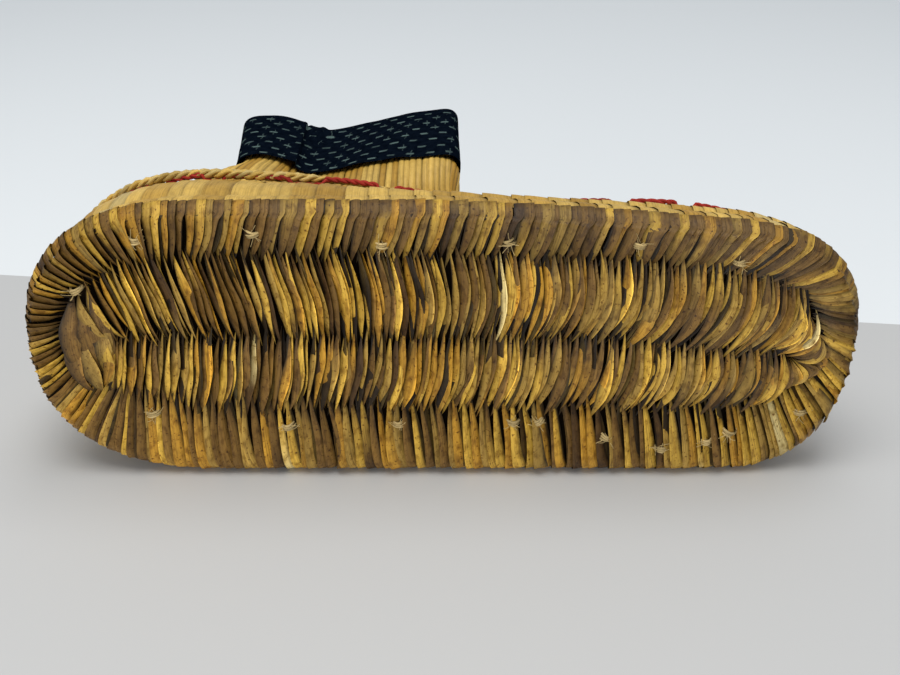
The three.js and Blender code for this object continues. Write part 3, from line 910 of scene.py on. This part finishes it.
def make_wall_strips():
    strips = Strips()
    edges = [0.0]
    # The strips are broad round the heel and the outer side, and narrower round the toe.
    while edges[-1] < 4:
        turn = edges[-1]
        toe = max(0.0, 1 - min(turn, 4 - turn) / 0.7)
        wanted = mix(7.6, 4.4, toe) * rng.uniform(0.6, 1.4)
        width = ring_width(0.0, turn, 0.02) / 0.02
        edges.append(turn + wanted / max(float(width), 1e-6))
    edges = np.array(edges) * (4 / edges[-1])
    rows = np.linspace(0.35, RIM + 0.12, 12)
    bulge = 0.35 * np.sin(np.linspace(0, np.pi, 12))
    matches = row_matches(rows, 0.0, -118, 105)
    for k in range(len(edges) - 1):
        turn = (edges[k] + edges[k + 1]) / 2
        share = edges[k + 1] - edges[k]
        turns = np.array([match(turn) for match in matches])
        centre, out, _, around = wall(rows, turns, 0.5 + bulge + rng.uniform(-0.1, 0.15))
        low = [sole_edge(turn, inset, height) for inset, height in FOOT_PATH]
        centre = np.concatenate([[at for at, _ in low], centre])
        out = np.concatenate([[way for _, way in low], out])
        around = np.concatenate([np.repeat(around[:1], len(low), 0), around])
        half = ring_width(np.concatenate([[0.0] * len(low), rows]), turn, share) / 2 * 1.06
        half[len(low):] = np.maximum(half[len(low):], half[0] * 0.9)
        n = len(centre)
        # Painted shade on each strip's first edge, and a little on its second, for the dark lines between
        # strips
        edge = rng.uniform(0.25, 0.6)
        color = pale_color(n)
        strips.add(centre, around, out, half, color, 7, 0.03, rng.normal(0.07, 0.01), 4000 + k, (edge, 0.9))
    return strips.build("wall_strips", straws["flat_straw"])


def make_vamp_strips():
    strips = Strips()
    turns = even_turns(RIM, 4.4)
    rows = np.linspace(RIM + 0.02, THROAT + 0.05, 16)
    for k, turn in enumerate(turns):
        share = ((turns[(k + 1) % len(turns)] - turns[k - 1]) % 4) / 2
        half = ring_width(rows, turn, share) / 2 * 1.12
        off = 0.45 + rng.uniform(-0.1, 0.3)
        color = pale_color(len(rows))
        tilt = rng.normal(0, 0.06)
        sway = rng.normal(0, 0.01)
        wall_strip(strips, rows, turn, half, off, color, 5000 + k, 0.3, tilt, sway)
    return strips.build("vamp_strips", straws["flat_straw"])


# The leg is pressed flat: its two ends are creased along the upper side, and drawn in below the crease.
LEG_ENDS = table(
    "way limit out drawn",
    (1, COLLAR_FRONT, 0.2, 5.6),
    (-1, HALF_L - COLLAR_REAR, 0.0, 5.0),
)


def press_leg(points, weight):
    """The leg's points with its ends creased, as far as the weight says."""
    for end in LEG_ENDS:
        near = smooth((end["way"] * points[..., 0] - end["limit"] + 16) / 12)
        above = smooth((points[..., 2] - HALF_W - 5) / 16)
        below = smooth((HALF_W + 42 - points[..., 2]) / 26)
        points[..., 0] += end["way"] * near * (end["out"] * above - end["drawn"] * below) * weight
    return points


def leg_share(rows):
    """How far up the leg the rows are, from 0 at the throat to 1 at the band."""
    return smooth((rows - THROAT) / (BAND - THROAT))


def leg_lean(row):
    """Behind, the straws lean with the heel as they go down."""
    return lambda u, side: -4.3 * smooth((-50 - u) / 26) * (BAND - min(row, BAND)) / (BAND - THROAT) * 2


def make_leg_straws():
    strips = Strips()
    turns = even_turns(BAND, 2.35)
    count = len(turns)
    rows = np.linspace(THROAT - 0.05, BAND + 0.6, 14)
    matches = [row_matches([min(row, BAND)], BAND, -76, 2.2, leg_lean(row))[0] for row in rows]
    paths = np.array([[match(t) for match in matches] for t in turns])
    for k, turn in enumerate(turns):
        ahead, behind = paths[(k + 1) % count].copy(), paths[k - 1].copy()
        if k == count - 1:
            ahead = ahead + 4
        if k == 0:
            behind = behind - 4
        here = paths[k] + rng.normal(0, 0.003)
        points, out, _, around = wall(rows, here)
        gap = read(grid, rows, ahead) - read(grid, rows, behind)
        along = unit(np.gradient(points, axis=0))
        side = unit(np.cross(along, out))
        half = np.abs(np.sum(gap * side, -1)) / 4 * rng.uniform(0.98, 1.2)
        half = np.maximum(half, 0.9)
        off = 0.3 + rng.uniform(-0.15, 0.3) - 0.6 * smooth((rows - BAND + 0.2) / 0.3)
        front = max(0.0, 1 - min(turn % 4, 4 - turn % 4) / 0.85)
        rear = max(0.0, 1 - abs(turn % 4 - 2) / 0.6)
        off = off + (1.8 * smooth(front) + 0.9 * smooth(rear)) * smooth((BAND - rows) / 0.3)
        # Painted shade on both edges of each straw, for its rounded sides and the gaps between straws
        edge = rng.uniform(0.4, 0.65)
        color = pale_color(len(rows), 0.3)
        centre = press_leg(points + out * off[:, None], leg_share(rows))
        strips.add(centre, side, out, half, color, 7, 0.4, rng.normal(0, 0.08), 6000 + k, (edge, edge))
    inner_turns = even_turns(BAND, 4.2)
    inside = np.linspace(THROAT, TUCK + 0.6, 12)
    for k, turn in enumerate(inner_turns):
        half = ring_width(inside, turn, 4 / len(inner_turns)) / 2 * 0.98
        wall_strip(strips, inside, turn, half, -LEG_WALL - 0.3, pale_color(12), 7000 + k, 0.4)
    return strips.build("leg_straws", straws["round_straw"])


wall_strips = make_wall_strips()
vamp_strips = make_vamp_strips()
leg_straws = make_leg_straws()
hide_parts("shaft")

# The rim: a plait of straw round the top of the side wall, with red yarn twisted along under it


def rim_line(row, off, step):
    """Points a step apart along the wall's ring at a row, with the ways out and up, and how far along."""
    points, out, up, _ = wall(np.full(2400, row), np.linspace(0, 4, 2400), off)
    run = run_along(points)
    at = np.linspace(0, run[-1], int(run[-1] / step))
    lines = (np.stack([np.interp(at, run, line[:, k]) for k in range(3)], -1) for line in (points, out, up))
    points, out, up = lines
    return points, unit(out), unit(up), at


# Along the outer side the plait thins to a few loose straws over the red yarn: how full it is there.
THIN_PLACES = [-52, -36, 12, 40]
THIN_SHARES = [1, 0.42, 0.34, 1]


def toe_share(points):
    """1 where the rim runs round the toe, and 0 behind that."""
    return smooth((points[:, 0] - 22) / 16)


def outer_share(points, places, values):
    """The value for each place along on the outer side, and 1 on the inner side."""
    value = np.interp(points[:, 0], places, values)
    return np.where(points[:, 2] > HALF_W, value, 1.0)


def make_plait():
    strips = Strips()
    points, out, up, at = rim_line(RIM - 0.03, 1.7, 0.8)
    repeats = round(at[-1] / 11.5)
    phase = at / at[-1] * repeats * 2 * np.pi
    size = outer_share(points, THIN_PLACES, THIN_SHARES)
    size = np.convolve(np.pad(size, 10, "wrap"), np.ones(21) / 21, "valid")
    toe = toe_share(points)
    for strand in range(3):
        angle = phase + strand * 2 * np.pi / 3 + 0.25 * np.sin(at / 19)
        wave = (1.9 * np.sin(angle) * size)[:, None]
        centre = points + up * wave + out * (0.95 * np.sin(2 * angle) * size)[:, None]
        centre = centre + (out * 1.1 - up * 0.5) * (size * (1 - toe))[:, None]
        color = mix(PALE, CREAM, 0.3 * strand) * np.ones((len(at), 1))
        drift = 1 + 0.16 * np.sin(at / 7 + strand * 2)[:, None] + 0.1 * np.sin(at / 2.9 + strand)[:, None]
        wide = (2.45 + 0.3 * np.sin(at / 5.7 + strand * 2)) * size
        strips.tube(centre, wide, color * drift, 8, 0.4, 8000 + strand, out)
    return strips.build("rim_plait", straws["plait"])


def make_yarn():
    strips = Strips()
    points, out, up, at = rim_line(RIM, 2.2, 0.6)
    thin = outer_share(points, THIN_PLACES, THIN_SHARES)
    toe = toe_share(points)
    points = points - up * (1.0 + (3.1 - 1.2 * toe) * thin)[:, None]
    red = linear(158, 46, 36)
    size = outer_share(points, [-100, -88], [0.35, 1])
    wave = 0.4 * np.sin(at / 4.3) + 0.8 * np.sin(at / 17 + 1)
    for ply in range(2):
        angle = at / 6.5 * 2 * np.pi + ply * np.pi
        rise = 0.45 * np.sin(angle) + wave
        hidden = smooth((np.sin(at / 4.4 + np.sin(at / 13)) - 0.45) / 0.3)
        reach = 0.45 * np.cos(angle) + 0.85 - 0.75 * thin + 1.5 * toe - 2.0 * (1 - size) - 2.2 * hidden
        centre = points + up * rise[:, None] + out * reach[:, None]
        color = red * (1 + 0.2 * np.sin(at / 9 + ply))[:, None]
        thick = (0.6 + 0.28 * smooth(np.sin(at / 13 + 0.7) + 0.3)) * size * (0.6 + 0.4 * thin)
        strips.tube(centre, thick, color, 6, 1.0, 8100 + ply, out)
    return strips.build("red_yarn", straws["yarn"])


plait = make_plait()
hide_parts("rim_braid")
red_yarn = make_yarn()

# The cotton band

# The pleat on the outer side of the band: where its sharp crease is along the boot, and the rolled tucks on
# its toe side, each with where it starts and ends past the crease, and how far below the top edge it lies
CREASE_AT = -57.5
TUCKS = table(
    "start end drop slope thick rise",
    (0.0, 12.0, 3.0, 0.12, 1.3, 1.5),
    (1.0, 15.0, 6.5, -0.1, 1.5, 1.7),
    (2.0, 12.0, 12.5, 0.3, 1.4, 0.9),
    (2.0, 11.0, 19.5, 0.35, 1.3, 0.8),
)


def tucks(points, s, y, top):
    """How far the cloth stands out round the pleat, given each point's run round the band and up it."""
    outer = points[..., 2] > HALF_W
    far = np.where(outer, np.abs(points[..., 0] - CREASE_AT), 1e3)
    crease = np.take_along_axis(s, far.argmin(1)[:, None], 1)
    past = crease - s
    rise = 2.3 * np.exp(-np.clip(-past, 0, None) / 5) * (past <= 0) * smooth((top + 3 - y) / 6)
    for tuck in TUCKS:
        along = smooth((past - tuck["start"]) / 1.5) * smooth((tuck["end"] - past) / 3)
        line = top - tuck["drop"] + tuck["slope"] * past
        rise = rise + 1.5 * tuck["rise"] * along * np.exp(-(((y - line) / tuck["thick"]) ** 2))
    return rise * (y < top + 1)


def crisp_corners(points):
    """Pulls out the two upper corners, where the cloth is folded flat."""
    for ring in points:
        for way, rise in ((1, 1.3), (-1, 0.4)):
            corner = ring[(way * ring[:, 0] + ring[:, 2]).argmax()]
            near = np.exp(-(((ring[:, 0] - corner[0]) ** 2 + (ring[:, 2] - corner[2]) ** 2) / 50))
            ring[:, 2] += rise * near


def make_band():
    around = 420
    turns = np.arange(around) / around * 4
    profile = []
    for row in np.linspace(BAND - 0.02, COLLAR, 40):
        profile.append((row, BAND_OVER + 0.05, 0.0))
    for k in range(1, 8):
        angle = k / 8 * np.pi
        out = (LEG_WALL / 2 + BAND_OVER) * math.cos(angle) - LEG_WALL / 2
        profile.append((COLLAR, out, (BAND_OVER + 0.3) * math.sin(angle)))
    for row in np.linspace(COLLAR, TUCK + 0.05, 22):
        profile.append((row, -LEG_WALL - BAND_OVER, 0.0))
    profile = np.array(profile)
    rows = [wall(np.full(around, r), turns, off) for r, off, _ in profile]
    points = np.array([row[0] + row[2] * lift for row, (_, _, lift) in zip(rows, profile)])
    outs = np.array([row[1] for row in rows])
    run_round = run_along(points[20])
    run_up = run_along(points[:, 100])
    y, s = np.meshgrid(run_up, run_round, indexing="ij")
    inner = profile[:, 1] < 0
    # Soft creases: broad ripples, finer puckers at the edges, and a pleat where the leg is dented.
    ripple = 0.35 * np.sin(s / 9.3 + 1.3 * np.sin(y / 17)) * np.sin(y / 13 + 0.6)
    pucker = 0.22 * np.sin(s / 2.9 + np.sin(y / 5)) * np.exp(-(np.minimum(y, 12) / 4))
    edge = 0.3 * np.sin(s / 4.1 + 0.8 * np.sin(s / 11)) * np.exp(-(((y - run_up[43]) / 6) ** 2))
    offset = np.maximum(ripple + pucker + edge, -0.25) + 0.25 + tucks(points, s, y, run_up[39])
    offset[inner] *= 0.5
    points = points + outs * offset[..., None] * np.where(inner, -1, 1)[:, None, None]
    sink = 0.3 * np.sin(s[0] / 5.2) + 0.2 * np.sin(s[0] / 2.3 + 1)
    dip = 2.2 * np.exp(-(((points[0][:, 0] - CREASE_AT - 4) / 5.5) ** 2))
    dip = (dip + 2.8 * smooth((points[0][:, 0] + 35) / 30)) * smooth((points[0][:, 2] - HALF_W) / 10)
    for k in range(20):
        points[k] += rows[k][2] * ((sink - dip) * (1 - k / 20) ** 1.5)[:, None]
    crisp_corners(points)
    press_leg(points, 1.0)
    verts = points.reshape(-1, 3)
    verts[:, 2] = np.maximum(verts[:, 2], FLOOR_GAP)
    faces = closed_quads(len(profile), around)[:, ::-1]
    mesh = bpy.data.meshes.new("cotton_band")
    mesh.from_pydata((verts * 0.001).tolist(), [], faces.tolist())
    mesh.update()
    # The last column's faces end a full turn on, and not back at the start.
    past_end = np.append(run_round, run_round[-1] + run_round[1])
    column = faces % around
    wrapped = (column == 0) & (column == around - 1).any(1)[:, None]
    uv = np.stack([past_end[np.where(wrapped, around, column)], run_up[faces // around]], -1)
    mesh.uv_layers.new(name="UVMap").data.foreach_set("uv", (uv * 0.01).ravel())
    mesh.polygons.foreach_set("use_smooth", np.ones(len(faces), bool))
    return add_object("cotton_band", mesh)


def cotton_material():
    """Dark cotton with pale dashes in staggered rows, each a little uneven as hand-tied yarn is."""
    look = Look("ikat_cotton")
    calc = look.calc

    def uneven(run, across, along, reach):
        wobble = calc("SUBTRACT", look.noise(look.uv(across, along), 2), 0.5)
        return calc("ADD", calc("MULTIPLY", run, 100), calc("MULTIPLY", wobble, reach))

    # Millimetres round the band and up it
    plain = look.node("SeparateXYZ", {0: look.node("UVMap", {}, uv_map="UVMap")["UV"]})
    s = uneven(plain[0], 0.3, 0.9, 1.6)
    y = uneven(plain[1], 0.1, 0.1, 2.2)
    repeat = 7.4
    height = 5.4
    row = calc("FLOOR", calc("DIVIDE", y, height))
    shift = calc("MULTIPLY", calc("MODULO", row, 2), repeat / 2)
    local_s = calc("SUBTRACT", calc("MODULO", calc("ADD", s, shift), repeat), repeat / 2)
    local_y = calc("SUBTRACT", calc("MODULO", y, height), height / 2)
    ragged = look.noise(look.uv(0.6, 3.2), 2, 0.7)
    long = calc("ADD", 0.5, calc("MULTIPLY", ragged, 1.9))
    wide = calc("LESS_THAN", calc("ABSOLUTE", local_s), long)
    tall = calc("LESS_THAN", calc("ABSOLUTE", local_y), 0.6)
    thin = calc("LESS_THAN", calc("ABSOLUTE", calc("ADD", local_s, 0.3)), 0.15)
    here = calc("GREATER_THAN", look.noise(look.uv(0.21, 0.05), 1), 0.53)
    uprights = calc("MULTIPLY", calc("MULTIPLY", thin, here), 0.75)
    mark = calc("MAXIMUM", calc("MULTIPLY", wide, tall), uprights)
    fade = look.ramp(look.noise(look.uv(0.12, 0.5), 2), (0.35, 0.35), (0.6, 1.0))
    thread, weft = (look.waves(look.uv(0.045, 0.045), way, 70) for way in "XY")
    shine = calc("ADD", 0.55, calc("MULTIPLY", weft, 0.45))
    strength = calc("MULTIPLY", calc("MULTIPLY", mark, fade), shine)
    cloth = look.noise(look.uv(0.4, 0.4))
    base = look.ramp(cloth, (0.3, (0.0012, 0.0025, 0.0055)), (0.7, (0.0035, 0.0065, 0.0125)))
    color = look.blend(base, (*linear(96, 116, 112), 1), strength, "MIX")
    return look.finish(color, 0.9, 0.0, look.bump(calc("ADD", thread, weft), 0.3, 0.0002))


band = make_band()
band.data.materials.append(cotton_material())
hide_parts("collar_band")
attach(band, "root")

# The solids under the strips: dark straw that shows only in the gaps, and the mat inside


def insole_material():
    look = Look("insole_weave")
    strands = look.noise(look.solid(330, 20, 20))
    bands = look.waves(look.node("TexCoord", {})["Object"], "Z", 28, 1.5)
    shade = look.ramp(strands, (0.3, BROWN), (0.5, BEIGE), (0.7, PALE))
    dark = look.ramp(bands, (0.0, 0.45), (0.35, 1.0))
    weave = look.bump(look.calc("ADD", strands, bands), 0.8, 0.0015)
    return look.finish(look.blend(shade, dark), 0.75, normal=weave)


looks = {
    "upper": under_material("upper_under", linear(120, 94, 54)),
    "insole": insole_material(),
}
for name, look in looks.items():
    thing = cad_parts[name]
    thing.data.materials.clear()
    thing.data.materials.append(look)

# Floor, backdrop, light and camera


def stage_plane(name, corners, color, rough):
    mesh = bpy.data.meshes.new(name)
    mesh.from_pydata(corners, [], [(0, 1, 2, 3)])
    thing = add_object(name, mesh)
    thing.data.materials.append(Look(name).finish((*color, 1), rough))


# The table ends close behind the boot, along a line a little askew, and a paler sheet lies beyond it.
LINE_AT = 0.076
LINE_SLOPE = -0.122
line_ends = [(x, LINE_AT + LINE_SLOPE * x, 0) for x in (-3, 3)]
stage_plane("floor", [(-3, -3, 0), (3, -3, 0), line_ends[1], line_ends[0]], (0.53, 0.53, 0.525), 0.6)
stage_plane("backdrop", [line_ends[0], line_ends[1], (3, 4, 0), (-3, 4, 0)], (0.77, 0.8, 0.815), 0.9)

PITCH = math.radians(29)
DISTANCE = 0.4668
target = np.array([0.0, -BOOT_HEIGHT / 2, HALF_W]) * 0.001
camera_data = bpy.data.cameras.new("camera")
camera = add_object("camera", camera_data)
camera.location = target - np.array([0, math.cos(PITCH), -math.sin(PITCH)]) * DISTANCE
camera.rotation_euler = (math.pi / 2 - PITCH, 0, 0)
camera_data.sensor_width = 36
camera_data.lens = 54
camera_data.shift_x = 6.5 / 900
camera_data.shift_y = 10.5 / 900
bpy.context.scene.camera = camera
bpy.context.scene.view_settings.view_transform = "Standard"


def area_light(name, place_at, aim, size, power, color):
    data = bpy.data.lights.new(name, "AREA")
    data.shape = "RECTANGLE"
    data.size, data.size_y = size
    data.energy = power
    data.color = color
    thing = add_object(name, data)
    thing.location = place_at
    way = np.array(aim) - np.array(place_at)
    yaw = math.atan2(way[1], way[0])
    drop = math.atan2(np.hypot(way[0], way[1]), -way[2])
    thing.rotation_euler = (drop, 0, yaw - math.pi / 2)


area_light("key", (-0.2, -0.45, 1.2), (0, 0, 0.04), (0.8, 0.5), 7.5, (1, 0.985, 0.95))
area_light("fill", (-0.3, -1.4, 0.2), (0, 0, 0.05), (1.2, 0.35), 10.5, (1, 0.98, 0.95))
area_light("top", (0.1, 0.0, 1.2), (0, 0.05, 0.05), (0.8, 0.6), 5.5, (0.98, 0.99, 1))
world = bpy.data.worlds.new("world")
bpy.context.scene.world = world
world.use_nodes = True
world.node_tree.nodes["Background"].inputs["Color"].default_value = (0.78, 0.82, 0.87, 1)
world.node_tree.nodes["Background"].inputs["Strength"].default_value = 0.46
